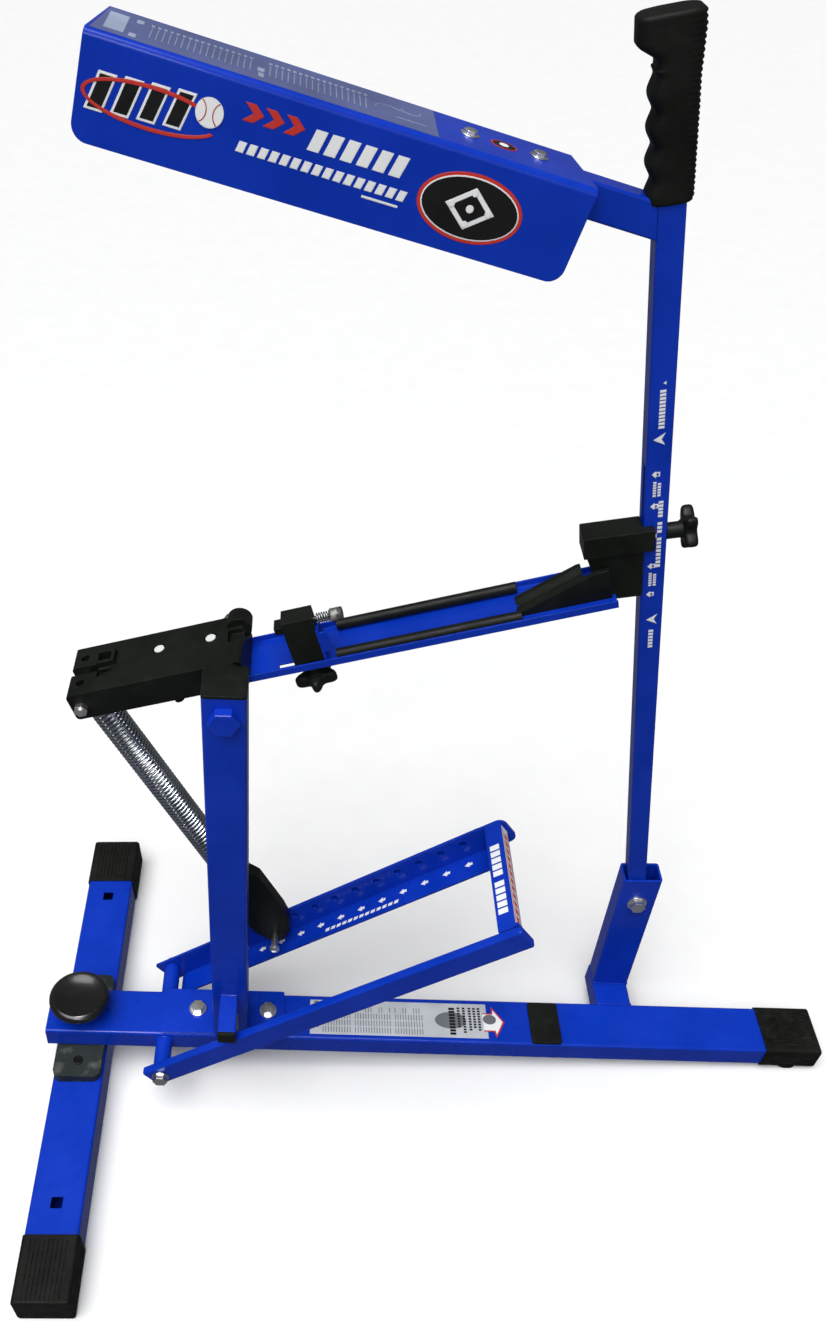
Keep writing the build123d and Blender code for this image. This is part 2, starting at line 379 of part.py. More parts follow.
core = block(-half, half, REL_Y - half, REL_Y + half, GRIP_L0 - 5, REL_TOP)
grip_side = make_face(Polyline(
    (-14, REL_Y, GRIP_L0), (19, REL_Y, GRIP_L0), (21, REL_Y, GRIP_L0 + 10), (19, REL_Y, GRIP_L0 + 60),
    (18, REL_Y, GRIP_L1 - 40), (22, REL_Y, GRIP_L1 - 12), (20, REL_Y, GRIP_L1 - 4),
    (-28, REL_Y, GRIP_L1), (-33, REL_Y, GRIP_L1 - 6), (-34, REL_Y, GRIP_L1 - 22),
    (-19, REL_Y, GRIP_L1 - 30), (-17, REL_Y, GRIP_L1 - 42), (-22, REL_Y, GRIP_L1 - 50),
    (-17, REL_Y, GRIP_L1 - 60), (-17, REL_Y, GRIP_L1 - 68), (-22, REL_Y, GRIP_L1 - 77),
    (-17, REL_Y, GRIP_L1 - 87), (-17, REL_Y, GRIP_L1 - 95), (-22, REL_Y, GRIP_L1 - 104),
    (-17, REL_Y, GRIP_L1 - 114), (-17, REL_Y, GRIP_L1 - 122), (-21, REL_Y, GRIP_L1 - 131),
    (-19, REL_Y, GRIP_L1 - 140), close=True))
grip = extrude(grip_side, 17, dir=(0, 1, 0)) + extrude(grip_side, 17, dir=(0, -1, 0))
grip = RELEASE * (grip - core)

hood = rounded(-HOOD_L, 0, REL_Y - HOOD_W / 2, REL_Y + HOOD_W / 2, -HOOD_H - 10, 0, Axis.X, 6)
hood -= rounded(-HOOD_L - 1, 1, REL_Y - HOOD_W / 2 + HOOD_T, REL_Y + HOOD_W / 2 - HOOD_T,
                -HOOD_H - 20, -HOOD_T, Axis.X, 4)
hood -= block(-HOOD_L - 1, 1, 0, 300, -HOOD_H - 20, -HOOD_H)
lower = [e for e in hood.edges().filter_by(Axis.Y) if e.center().Z < -HOOD_H + 1]
hood = fillet(lower, 14)
hood_far = REL_Y + HOOD_W / 2 + 1
for end, skew in ((-HOOD_L, HOOD_SKEW_L), (0, -HOOD_SKEW_R)):
    out = end - 20 if skew > 0 else end + 20
    wedge = make_face(Polyline((end, REL_Y - HOOD_W / 2, -100), (end + skew, hood_far, -100),
                               (out, hood_far, -100), (out, REL_Y - HOOD_W / 2, -100), close=True))
    hood -= extrude(wedge, 120, dir=(0, 0, 1))
parts["hood"] = HOOD * hood
hood_arm = square_tube(HOOD_ARM_L0, 140, REL_Y - half, REL_Y + half, -HOOD_T - HOOD_ARM_H, -HOOD_T,
                       Axis.X, REL_WALL, 2.5)
cutter = RELEASE * block(-half, 300, 0, 300, 600, 1300)
parts["hood_arm"] = (HOOD * hood_arm) - cutter
arm_room = HOOD * block(HOOD_ARM_L0, 140, 110, 150, -HOOD_T - HOOD_ARM_H, -HOOD_T)
parts["grip"] = grip - arm_room
parts["hood_bolts"] = HOOD * Compound(children=[hex_z(x, REL_Y, 12, 0, 5) for x in HOOD_BOLT_X])

# ---- pedal --------------------------------------------------------------------------------
far = rounded(RAIL_S0, 300, FAR_Y0, FAR_Y1, FAR_BOTTOM, RAIL_TOP, Axis.Y, 2.5)
far += rounded(200, FAR_S1, FAR_Y0, FAR_Y1, FAR_BOTTOM, RAIL_TOP, Axis.Y, 12)
far += block(RAIL_S0 + 22, FAR_S1 - 20, FAR_FOOT_Y, FAR_Y1, FAR_BOTTOM, FAR_BOTTOM + FAR_T)
far += block(BACK_S0, BACK_S1, FAR_Y1 - 1, BACK_Y1, BACK_P0, BACK_P1)
far -= rod_y(0, 0, PED_BOLT_R + CLEAR, 90, 170)
for i in range(HOLE_COUNT):
    far -= rod_y(HOLE_S + (i - PIN_INDEX) * HOLE_PITCH, HOLE_W, HOLE_R, FAR_Y0 - 1, HOLE_Y1)
parts["pedal_far_rail"] = PEDAL * far
near = rounded(RAIL_S0, 300, NEAR_Y0, NEAR_Y1, NEAR_BOTTOM, RAIL_TOP, Axis.Y, 2.5)
near += rounded(200, RAIL_S1, NEAR_Y0, NEAR_Y1, NEAR_BOTTOM, RAIL_TOP, Axis.Y, 4)
near = fillet(near.faces().sort_by(Axis.Z)[-1].edges().filter_by(Axis.X), 3)
near += block(RAIL_S1 - 6, RAIL_S1 - 1, NEAR_Y1 - 3.5, NEAR_Y1, 8, RAIL_TOP + LIP_UP)
near -= rod_y(0, 0, PED_BOLT_R + CLEAR, -90, 0)
parts["pedal_near_rail"] = PEDAL * near
step = block(STEP_S0, STEP_S1, NEAR_Y1, FAR_Y0, STEP_TOP - STEP_T, STEP_TOP)
step += block(STEP_S1 - STEP_T, STEP_S1, NEAR_Y1, FAR_Y0, STEP_TOP - STEP_DROP, STEP_TOP)
step = fillet([e for e in step.edges().filter_by(Axis.Y)
               if e.center().X > STEP_S1 - 0.1 and e.center().Z > STEP_TOP - 0.1], 2)
parts["pedal_step"] = PEDAL * step
pin = rod_y(HOLE_S, HOLE_W, YOKE_PIN_R, PIN_Y0, PIN_Y1)
pin += rod_y(HOLE_S, HOLE_W, 7.5, PIN_Y0 - 7, PIN_Y0)
parts["speed_pin"] = PEDAL * pin

# ---- spring and yoke ----------------------------------------------------------------------
yoke = polygon_y([(-11, -12), (8, -14), (24, 0), (35, 24), (38, 52), (37, 132), (28, YOKE_TOP),
                  (-24, YOKE_TOP), (-27, 128), (-27, 40), (-23, 14)], YOKE_Y0, YOKE_Y1)
yoke += rod_z(0, ARM_Y, 8, YOKE_TOP - 2, YOKE_TOP + 60)
yoke -= rod_y(0, 0, YOKE_PIN_R + CLEAR, 90, 150)
parts["spring_yoke"] = SPRING * yoke
coil_top = SPRING_SPAN - SPRING_TOP_GAP
spring = rod_z(0, ARM_Y, SPRING_R, YOKE_TOP + 2, coil_top) - rod_z(
    0, ARM_Y, SPRING_BORE, YOKE_TOP, coil_top - 5)
spring += block(-4, 4, ARM_Y - 2.5, ARM_Y + 2.5, coil_top - 4, SPRING_SPAN)
spring += rod_y(0, SPRING_SPAN, 9, ARM_Y - 2.5, ARM_Y + 2.5)
spring -= rod_y(0, SPRING_SPAN, SPRING_PIN_R + CLEAR, 90, 150)
parts["main_spring"] = SPRING * spring

# ---- stand it on the floor and export -----------------------------------------------------
for name, shape in parts.items():
    level[name] = BEAM * shape
box = Compound(list(level.values())).bounding_box()
SHIFT = Pos(-box.center().X, -box.center().Y, -box.min.Z)
WORLD = SHIFT * BEAM

os.makedirs("parts", exist_ok=True)
for name, shape in level.items():
    export_step(SHIFT * shape, f"parts/{name}.step")
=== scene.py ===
import bpy
import json
from math import atan2, cos, pi, radians, sin, sqrt
from mathutils import Matrix, Vector


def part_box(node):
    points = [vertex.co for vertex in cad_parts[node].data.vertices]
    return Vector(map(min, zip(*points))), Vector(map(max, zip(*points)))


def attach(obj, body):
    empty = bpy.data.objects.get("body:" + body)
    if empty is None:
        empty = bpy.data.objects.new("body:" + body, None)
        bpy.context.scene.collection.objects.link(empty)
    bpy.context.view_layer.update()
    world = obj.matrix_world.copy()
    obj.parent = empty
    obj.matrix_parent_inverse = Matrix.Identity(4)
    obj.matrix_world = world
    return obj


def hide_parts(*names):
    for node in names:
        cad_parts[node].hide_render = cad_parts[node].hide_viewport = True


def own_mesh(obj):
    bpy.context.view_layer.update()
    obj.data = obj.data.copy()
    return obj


# The looks of the pitching machine. Lengths are millimetres in the frames of its parts: the beam,
# the throwing arm, the release arm, the hood, the pedal and the spring. The hood's frame is placed
# in the beam's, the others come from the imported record's joints, and MM turns them into metres.

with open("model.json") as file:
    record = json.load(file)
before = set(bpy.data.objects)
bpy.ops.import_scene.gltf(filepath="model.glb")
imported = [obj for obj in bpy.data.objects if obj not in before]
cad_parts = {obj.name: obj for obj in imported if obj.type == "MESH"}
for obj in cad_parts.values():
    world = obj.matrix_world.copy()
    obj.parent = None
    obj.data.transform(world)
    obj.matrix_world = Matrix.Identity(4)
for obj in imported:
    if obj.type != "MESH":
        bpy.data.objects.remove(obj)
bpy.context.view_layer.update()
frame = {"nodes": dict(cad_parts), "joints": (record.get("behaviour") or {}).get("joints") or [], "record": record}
JOINT = {j["name"]: j for j in frame["joints"]}
MM = Matrix.Scale(0.001, 4)
SIDE_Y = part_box("main_beam")[0].y          # y of the beam's near edge, where every frame has y = 0


def at_joint(name, angle):
    """A frame on a joint's axis, at the beam's near edge, turned about Y."""
    x, _, z = JOINT[name]["pos_m"]
    return Matrix.Translation((x, SIDE_Y, z)) @ Matrix.Rotation(angle, 4, "Y")


KNOB_X, KNOB_Y = 36.4, 38.1                # the crossbar knob on the beam
stud = JOINT["crossbar_knob_turn"]["axis"]
LEAN = atan2(stud[0], stud[2])
BEAM = at_joint("crossbar_knob_turn", LEAN) @ Matrix.Translation((-KNOB_X / 1000, 0, 0)) @ MM

slide = JOINT["ball_stop_slide"]["axis"]
ARM = at_joint("arm_swing", atan2(slide[2], -slide[0])) @ MM

rise = JOINT["release_block_slide"]["axis"]
RELEASE = at_joint("release_tilt", atan2(rise[0], rise[2])) @ MM
RELEASE_Y, TUBE_HALF = 130.0, 12.7         # the release arm's square tube

HOOD_X, HOOD_Z, HOOD_SLOPE = 581, 1190, radians(13.8)
HOOD = BEAM @ Matrix.Translation((HOOD_X, 0, HOOD_Z)) @ Matrix.Rotation(HOOD_SLOPE, 4, "Y")
HOOD_WIDTH = 83

pivot, pin = JOINT["pedal_press"]["pos_m"], JOINT["yoke_swing"]["pos_m"]
HOLE_S, HOLE_W = 205.2, 3.4                # the speed pin's hole in the pedal's frame
PEDAL_SLOPE = atan2(HOLE_W, HOLE_S) - atan2(pin[2] - pivot[2], pin[0] - pivot[0])
PEDAL = at_joint("pedal_press", PEDAL_SLOPE) @ MM

eye = JOINT["spring_swing"]["pos_m"]
SPRING = at_joint("yoke_swing", atan2(eye[0] - pin[0], eye[2] - pin[2])) @ MM
SPAN = 1000 * sqrt((eye[0] - pin[0]) ** 2 + (eye[2] - pin[2]) ** 2)

# ---- materials ----------------------------------------------------------------------------
COAT_ROUGH, BEVEL_SAMPLES, RELIEF_DEPTH = 0.08, 4, 0.0004
DUST = (0.32, 0.33, 0.30)


def finish(name, colour, rough, metallic=0.0, coat=0.0, wear_and_highlight_colour=None, wear_and_highlight_share=0.0, mottle=0.12,
           grain=900.0, bump=0.05, edge=0.0012, specular=0.5, dust=0.0):
    """Procedural finish: mottled colour, lighter patchy edges that stand for edge wear and, on some materials, a
    painted edge highlight, uneven roughness and fine bump.
    """
    mat = bpy.data.materials.new(name)
    mat.use_nodes = True
    nodes, links = mat.node_tree.nodes, mat.node_tree.links
    shader = nodes["Principled BSDF"]
    shader.inputs["Metallic"].default_value = metallic
    shader.inputs["Coat Weight"].default_value = coat
    shader.inputs["Coat Roughness"].default_value = COAT_ROUGH
    shader.inputs["Specular IOR Level"].default_value = specular
    where = nodes.new("ShaderNodeTexCoord").outputs["Object"]

    def noise(scale, detail=4.0):
        n = nodes.new("ShaderNodeTexNoise")
        n.inputs["Scale"].default_value = scale
        n.inputs["Detail"].default_value = detail
        links.new(where, n.inputs["Vector"])
        return n.outputs["Fac"]

    def mix(fac, a, b):
        m = nodes.new("ShaderNodeMix")
        m.data_type = "RGBA"
        links.new(fac, m.inputs["Factor"])
        for socket, value in ((m.inputs["A"], a), (m.inputs["B"], b)):
            if isinstance(value, tuple):
                socket.default_value = (*value, 1)
            else:
                links.new(value, socket)
        return m.outputs["Result"]

    def spread(value, lo, hi, new_lo, new_hi):
        m = nodes.new("ShaderNodeMapRange")
        for key, v in (("From Min", lo), ("From Max", hi), ("To Min", new_lo), ("To Max", new_hi)):
            m.inputs[key].default_value = v
        links.new(value, m.inputs["Value"])
        return m.outputs["Result"]

    dark = tuple(c * (1 - mottle) for c in colour)
    light = tuple(min(1.0, c * (1 + mottle) + 0.004) for c in colour)
    base = mix(spread(noise(14), 0.3, 0.7, 0, 1), dark, light)
    if dust:
        base = mix(spread(noise(45, 6), 0.52, 0.8, 0, dust), base, DUST)
    soft = nodes.new("ShaderNodeBevel")
    soft.samples = BEVEL_SAMPLES
    soft.inputs["Radius"].default_value = edge
    # Edges get a lighter colour: wear, and on some materials a painted edge highlight.
    if wear_and_highlight_share:
        flat = nodes.new("ShaderNodeNewGeometry").outputs["Normal"]
        turn = nodes.new("ShaderNodeVectorMath")
        turn.operation = "DOT_PRODUCT"
        links.new(soft.outputs["Normal"], turn.inputs[0])
        links.new(flat, turn.inputs[1])
        corner = spread(turn.outputs["Value"], 0.97, 0.75, 0, wear_and_highlight_share)
        patchy = nodes.new("ShaderNodeMath")
        patchy.operation = "MULTIPLY"
        links.new(corner, patchy.inputs[0])
        links.new(spread(noise(120), 0.45, 0.65, 0, 1), patchy.inputs[1])
        base = mix(patchy.outputs["Value"], base, wear_and_highlight_colour)
    links.new(base, shader.inputs["Base Color"])
    links.new(spread(noise(60), 0.25, 0.75, rough * 0.8, rough * 1.25), shader.inputs["Roughness"])
    relief = nodes.new("ShaderNodeBump")
    relief.inputs["Strength"].default_value = bump
    relief.inputs["Distance"].default_value = RELIEF_DEPTH
    links.new(noise(grain, 2), relief.inputs["Height"])
    links.new(soft.outputs["Normal"], relief.inputs["Normal"])
    links.new(relief.outputs["Normal"], shader.inputs["Normal"])
    return mat


# Its lighter, brighter blue edges are a painted edge highlight.
BLUE = finish("blue_paint", (0.0008, 0.034, 0.46), 0.30, coat=0.28, mottle=0.10, grain=420, bump=0.10,
              specular=0.10, wear_and_highlight_colour=(0.05, 0.20, 0.75), wear_and_highlight_share=0.5)
# Its lighter edges, ribs included, are painted highlights.
RUBBER = finish("black_rubber", (0.0045, 0.0055, 0.004), 0.55, mottle=0.25, grain=1500, bump=0.25,
                specular=0.12, wear_and_highlight_colour=(0.10, 0.105, 0.095), wear_and_highlight_share=0.6, dust=0.02)
PLASTIC = finish("black_plastic", (0.005, 0.0065, 0.0045), 0.42, mottle=0.2, grain=1300, bump=0.18,
                 specular=0.14, wear_and_highlight_colour=(0.08, 0.085, 0.07), wear_and_highlight_share=0.6, dust=0.015)
GLOSSY = finish("gloss_black", (0.004, 0.004, 0.004), 0.22, coat=0.3, grain=300, bump=0.05,
                wear_and_highlight_colour=(0.06, 0.06, 0.06), wear_and_highlight_share=0.3)
ZINC = finish("zinc_plate", (0.70, 0.70, 0.68), 0.30, metallic=1.0, mottle=0.20, grain=700, bump=0.12,
              wear_and_highlight_colour=(0.85, 0.85, 0.83), wear_and_highlight_share=0.4)
DUSTY = finish("dusty_plastic", (0.016, 0.022, 0.021), 0.5, mottle=0.3, grain=700, bump=0.2,
               specular=0.2, wear_and_highlight_colour=(0.06, 0.06, 0.06), wear_and_highlight_share=0.5, dust=0.35)
BRIGHT = finish("bright_rivet", (0.86, 0.87, 0.86), 0.5, metallic=0.2, mottle=0.06, grain=700, bump=0.10)
# Its bright edges are painted highlights on the knurl.
KNURLED = finish("dark_knurled_steel", (0.035, 0.038, 0.034), 0.35, metallic=0.6, mottle=0.2,
                 grain=700, bump=0.12, wear_and_highlight_colour=(0.7, 0.7, 0.68), wear_and_highlight_share=0.7)
SPRING_STEEL = finish("spring_steel", (0.44, 0.47, 0.50), 0.22, metallic=1.0, mottle=0.3,
                      grain=500, bump=0.15)
WHITE = finish("white_ink", (0.95, 0.96, 0.97), 0.4, mottle=0.03, grain=800, bump=0.05)
HAZE = finish("haze_film", (0.10, 0.125, 0.30), 0.42, mottle=0.15, grain=800, bump=0.05)
PALE = finish("pale_ink", (0.34, 0.40, 0.56), 0.4, mottle=0.25, grain=800, bump=0.05)
RED = finish("red_ink", (0.62, 0.03, 0.02), 0.4, mottle=0.10, grain=800, bump=0.05)
INK = finish("black_ink", (0.005, 0.005, 0.006), 0.4, mottle=0.10, grain=800, bump=0.05, specular=0.25)
SILVER = finish("silver_label", (0.66, 0.69, 0.74), 0.42, metallic=0.3, mottle=0.12, grain=900, bump=0.06)
GREY = finish("grey_ink", (0.16, 0.17, 0.19), 0.4, mottle=0.15, grain=900, bump=0.05)

SLOT_FINISH = {"blue_paint": BLUE, "black_rubber": RUBBER, "black_plastic": PLASTIC, "zinc": ZINC,
               "black_oxide": GLOSSY}
OWN_FINISH = {"crank_rivets": BRIGHT, "saddle_plate": DUSTY, "saddle_screw": GLOSSY}
for part in frame["record"]["subparts"]:
    ob = frame["nodes"][part["node"]]
    ob.data.materials.clear()
    ob.data.materials.append(OWN_FINISH.get(part["node"], SLOT_FINISH[part["material_slot"]]))
INK_SLOT = "blue_paint"                    # print lies on painted metal

# ---- mesh helpers -------------------------------------------------------------------------


def piece(name, verts, faces, place, mat, body, slot, stands_for=(), smooth=30):
    """A visible piece on a body, smooth below an angle in degrees, or flat if that is 0."""
    mesh = bpy.data.meshes.new(name)
    mesh.from_pydata([place @ Vector(v) for v in verts], [], faces)
    mesh.validate()
    ob = bpy.data.objects.new(name, mesh)
    bpy.context.scene.collection.objects.link(ob)
    mesh.materials.append(mat)
    if smooth:
        mesh.shade_smooth()
        mesh.set_sharp_from_angle(angle=radians(smooth))
    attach(ob, body)
    if stands_for:
        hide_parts(*stands_for)
    return ob


def rings(loops):
    """Faces between rings of equal count, with a cap at each end."""
    n, verts, faces = len(loops[0]), [], []
    for loop in loops:
        verts += loop
    for i in range(len(loops) - 1):
        for k in range(n):
            a, b = i * n + k, i * n + (k + 1) % n
            faces.append((a, b, b + n, a + n))
    faces.append(tuple(reversed(range(n))))
    faces.append(tuple(range(len(verts) - n, len(verts))))
    return verts, faces


def circle(n):
    """n points of a unit circle."""
    return [(cos(2 * pi * k / n), sin(2 * pi * k / n)) for k in range(n)]


def lathe(profile, segments=64):
    """(radius, height) profile turned about local Z."""
    least = 0.02                           # a radius of 0 becomes a tiny ring
    return rings([[(max(r, least) * c, max(r, least) * s, z) for c, s in circle(segments)]
                  for r, z in profile])


def helix(radius, wire, pitch, z0, z1, phase=0.0, steps=28, around=10):
    """Coils about local Z whose angle depends on z alone, so that two strands stay in step."""
    turns = (z1 - z0) / pitch
    n = int(turns * steps)
    loops = []
    for i in range(n + 1):
        t = i / n
        a = phase + 2 * pi * (z0 / pitch + turns * t)
        centre = Vector((radius * cos(a), radius * sin(a), z0 + (z1 - z0) * t))
        out = Vector((cos(a), sin(a), 0))
        along = Vector((-sin(a) * 2 * pi * radius, cos(a) * 2 * pi * radius, pitch)).normalized()
        up = along.cross(out)
        loops.append([tuple(centre + out * wire * c + up * wire * s) for c, s in circle(around)])
    return rings(loops)


def tube(points, radii, around):
    """Round wire through points, with a radius for each."""
    p = [Vector(q) for q in points]
    loops, up = [], None
    for i, (centre, radius) in enumerate(zip(p, radii)):
        along = (p[min(i + 1, len(p) - 1)] - p[max(i - 1, 0)]).normalized()
        up = along.orthogonal().normalized() if up is None else (up - along * up.dot(along)).normalized()
        side = along.cross(up)
        loops.append([tuple(centre + (up * c + side * s) * radius) for c, s in circle(around)])
    return rings(loops)


def prism(outline, t0, t1):
    """Flat outline in local XY, from z = t0 to t1."""
    return rings([[(x, y, t0) for x, y in outline], [(x, y, t1) for x, y in outline]])


def merged(parts):
    """Several (verts, faces) as one."""
    verts, faces = [], []
    for v, f in parts:
        n = len(verts)
        verts += v
        faces += [tuple(i + n for i in face) for face in f]
    return verts, faces


def moved(part, matrix):
    """(verts, faces) at another place."""
    return [tuple(matrix @ Vector(v)) for v in part[0]], part[1]


def rect(x0, x1, y0, y1):
    return [(x0, y0), (x1, y0), (x1, y1), (x0, y1)]


def ellipse(cx, cy, a, b, n=40):
    return [(cx + a * c, cy + b * s) for c, s in circle(n)]


LAYER = 0.2                                # thickness of every printed layer


def print_on(name, outlines, place, mat, body, lift=0.25):
    """Ink or label: thin solids standing lift above local z = 0."""
    layer = merged([prism(o, lift - LAYER, lift) for o in outlines])
    return piece(name, *layer, place, mat, body, INK_SLOT, smooth=0)


# ---- the main spring ----------------------------------------------------------------------
# Two strands wound into each other: one hangs from the arm, the other stands on the yoke, and
# with the pedal down the second is the one that shows as open coils.
ARM_Y, YOKE_TOP, SPRING_GAP = 119.0, 150.0, 25.0
WIRE_R, COIL_R, PITCH, LOWER_REACH = 2.0, 17.6, 12.6, 130.0
HOOK_R, HOOK_WIRE_R, HOOK_STEPS = 8.5, 2.4, 15

coil = SPRING @ Matrix.Translation((0, ARM_Y, 0))
coil_top = SPAN - SPRING_GAP
meeting = YOKE_TOP + LOWER_REACH
upper = piece("spring_coils_upper", *merged([
    helix(COIL_R, WIRE_R, PITCH, YOKE_TOP + 4, coil_top),
    helix(COIL_R, WIRE_R, PITCH, meeting, coil_top, pi)]),
    coil, SPRING_STEEL, "spring", "zinc", ["main_spring"])
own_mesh(upper)

hook = [(COIL_R, 0, coil_top), (COIL_R * 0.7, 0, coil_top + 3), (6, 0, coil_top + 5), (0, 0, coil_top + 8)]
hook += [(HOOK_R * sin(pi * k / 8), 0, SPAN - HOOK_R * cos(pi * k / 8)) for k in range(HOOK_STEPS)]
piece("spring_hook", *tube(hook, [HOOK_WIRE_R] * len(hook), 12),
      coil, SPRING_STEEL, "spring", "zinc", ["main_spring"])

lower = piece("spring_coils_lower", *helix(COIL_R, WIRE_R, PITCH, YOKE_TOP - 22, meeting, pi),
              coil, SPRING_STEEL, "yoke", "zinc")
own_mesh(lower)

# ---- knobs --------------------------------------------------------------------------------


def star_knob(r, thick, lobes=5, n=120):
    """Lobed knob head about local Z, centred, with rounded faces."""
    hub = 0.60                             # radius between the lobes, as a share of r
    layers = ((-0.5, 0.80), (-0.46, 0.90), (-0.36, 0.97), (-0.2, 1.0),
              (0.2, 1.0), (0.36, 0.97), (0.46, 0.90), (0.5, 0.80))
    loops = []
    for level, scale in layers:
        loop = []
        for i in range(n):
            a = 2 * pi * i / n
            wave = 0.5 + 0.5 * cos(lobes * a)
            reach = r * (hub + (1 - hub) * wave ** 1.5)
            loop.append((reach * scale * cos(a), reach * scale * sin(a), level * thick))
        loops.append(loop)
    return rings(loops)


STOP_KNOB = (93, 99, -46)                  # its middle in the arm's frame
RELEASE_KNOB = (36.5, 126, 638)            # its middle in the release arm's frame
stop_knob = Matrix.Translation(STOP_KNOB) @ Matrix.Rotation(-pi / 2, 4, "Z")
piece("ball_stop_star", *merged([
    moved(star_knob(26, 15), stop_knob),
    moved(lathe([(0, 0), (9.5, 0), (9, 10), (8, 21.5), (0, 21.5)], 32), stop_knob),
    moved(lathe([(0, 20), (2.9, 20), (2.9, 34), (0, 34)], 20), stop_knob)]),
    ARM, PLASTIC, "ball_stop_knob", "black_plastic", ["ball_stop_knob"])

release_knob = Matrix.Translation(RELEASE_KNOB) @ Matrix.Rotation(pi / 2, 4, "Y")
piece("release_star", *merged([
    moved(star_knob(25, 13), release_knob),
    moved(lathe([(0, -23.4), (9, -23.4), (9, -10), (10.5, -5), (0, -5)], 32), release_knob)]),
    RELEASE, PLASTIC, "release_knob", "black_plastic", ["release_knob"])
release_stud = lathe([(0, -68), (4, -68), (4.8, -67), (4.8, -20), (0, -20)], 24)
piece("release_knob_stud", *moved(release_stud, release_knob), RELEASE, ZINC, "release_knob", "zinc")

on_beam = Matrix.Translation((KNOB_X, KNOB_Y, 0))
dish = [(0, 0.7), (20, 0.7), (21, 2), (21, 12), (22.5, 17), (27, 21.5), (36, 25), (42, 28), (44.4, 31),
        (45, 34), (44.4, 37), (42, 40), (38, 41.7), (34, 41.2), (29, 39.4), (18, 37.4), (0, 36.6)]
piece("crossbar_knob_head", *moved(lathe(dish, 72), on_beam),
      BEAM, GLOSSY, "knob", "black_plastic", ["crossbar_knob"])
crossbar_stud = lathe([(0, -67), (4, -67), (4.9, -66), (4.9, 2), (0, 2)], 24)
piece("crossbar_knob_stud", *moved(crossbar_stud, on_beam), BEAM, ZINC, "knob", "zinc")

# ---- grip ---------------------------------------------------------------------------------
GRIP_L0, GRIP_L1 = 983.0, 1131.0           # its ends along the release arm
FINGER_PITCH, FINGER_DEPTH = 27.0, 4.5
RIB_PITCH, RIB_DEPTH = 4.6, 0.7
NOSE_START, NOSE_RISE, NOSE_REACH = 36.0, 16.0, 16.0
END_ROUND, SQUARENESS = 4.0, 0.55
GRIP_LAYERS, GRIP_SIDES = 148, 40


def grip_section(t):
    """(left, right, half depth) of the grip at height t above its lower end."""
    top = GRIP_L1 - GRIP_L0
    left, right = -17.5, 19.0
    if t < top - NOSE_START - 4:
        phase = ((t + 6) % FINGER_PITCH) / FINGER_PITCH
        left -= FINGER_DEPTH * sin(pi * phase) ** 1.6
    if t > top - NOSE_START:
        k = min(1.0, (t - top + NOSE_START) / NOSE_RISE)
        left -= NOSE_REACH * k * k * (3 - 2 * k)
    right += RIB_DEPTH * sin(2 * pi * t / RIB_PITCH) + 2.6 * max(0.0, 1 - abs(t - (top - 14)) / 34)
    depth = 16.6 - 0.8 * cos(2 * pi * t / top)
    for end in (t, top - t):
        if end < END_ROUND:
            squeeze = 1 - 0.30 * (1 - sqrt(max(0.0, 1 - (1 - end / END_ROUND) ** 2)))
            left, right, depth = left * squeeze, right * squeeze, depth * squeeze
    return left, right, depth


def boxy(c):
    """A circle's coordinate pushed out towards a rounded square's."""
    return abs(c) ** SQUARENESS * (1 if c > 0 else -1)


loops = []
for i in range(GRIP_LAYERS + 1):
    t = (GRIP_L1 - GRIP_L0) * i / GRIP_LAYERS
    left, right, depth = grip_section(t)
    mid, half = (left + right) / 2, (right - left) / 2
    loops.append([(mid + half * boxy(c), RELEASE_Y + depth * boxy(s), GRIP_L0 + t)
                  for c, s in circle(GRIP_SIDES)])
piece("hand_grip", *rings(loops), RELEASE, RUBBER, "release_arm", "black_rubber", ["grip"], smooth=50)

# ---- ball stop's adjusting screw ----------------------------------------------------------
SCREW_Y, SCREW_HEIGHT = 99.5, 35.0
KNURL_COUNT, KNURL_DEPTH = 96, 0.6
along_arm = Matrix.Translation((0, SCREW_Y, SCREW_HEIGHT)) @ Matrix.Rotation(pi / 2, 4, "Y")
adjust_coils = helix(5.2, 0.9, 2.8, 114.6, 130.1, steps=24, around=8)
piece("adjust_coils", *moved(adjust_coils, along_arm),
      ARM, SPRING_STEEL, "ball_stop", "zinc", ["adjust_spring"])
knurl = []
for z, r, cut in ((130.6, 7.0, 0), (131.4, 7.8, KNURL_DEPTH), (143.9, 7.8, KNURL_DEPTH), (144.9, 7.0, 0),
                  (144.9, 4.0, 0), (141.5, 3.8, 0)):
    knurl.append([((r - cut * (k % 2)) * c, (r - cut * (k % 2)) * s, z)
                  for k, (c, s) in enumerate(circle(KNURL_COUNT))])
screw_shank = lathe([(0, 93.5), (3, 93.5), (3, 131), (0, 131)], 24)
piece("adjust_head", *merged([moved(rings(knurl), along_arm), moved(screw_shank, along_arm)]),
      ARM, KNURLED, "adjust_screw", "zinc", ["adjust_screw"])

# ---- speed pin ----------------------------------------------------------------------------
pin_axis = Matrix.Translation((HOLE_S, 0, HOLE_W)) @ Matrix.Rotation(-pi / 2, 4, "X")
pin_shank = lathe([(0, 88.5), (5, 88.5), (5, 134.4), (4, 136.5), (0, 136.5)], 28)
pin_head = lathe([(0, 81.5), (4, 81.5), (7.2, 82.5), (7.4, 84.2), (7.4, 87.7), (6.4, 88.5), (0, 88.5)], 32)
piece("quick_pin", *merged([moved(pin_shank, pin_axis), moved(pin_head, pin_axis)]),
      PEDAL, ZINC, "speed_pin", "zinc", ["speed_pin"])

# ---- printing -----------------------------------------------------------------------------
NEAR = Matrix.Rotation(pi / 2, 4, "X")                 # local XY becomes XZ, facing the near side


def facing_near(y):
    return Matrix.Translation((0, y, 0)) @ NEAR


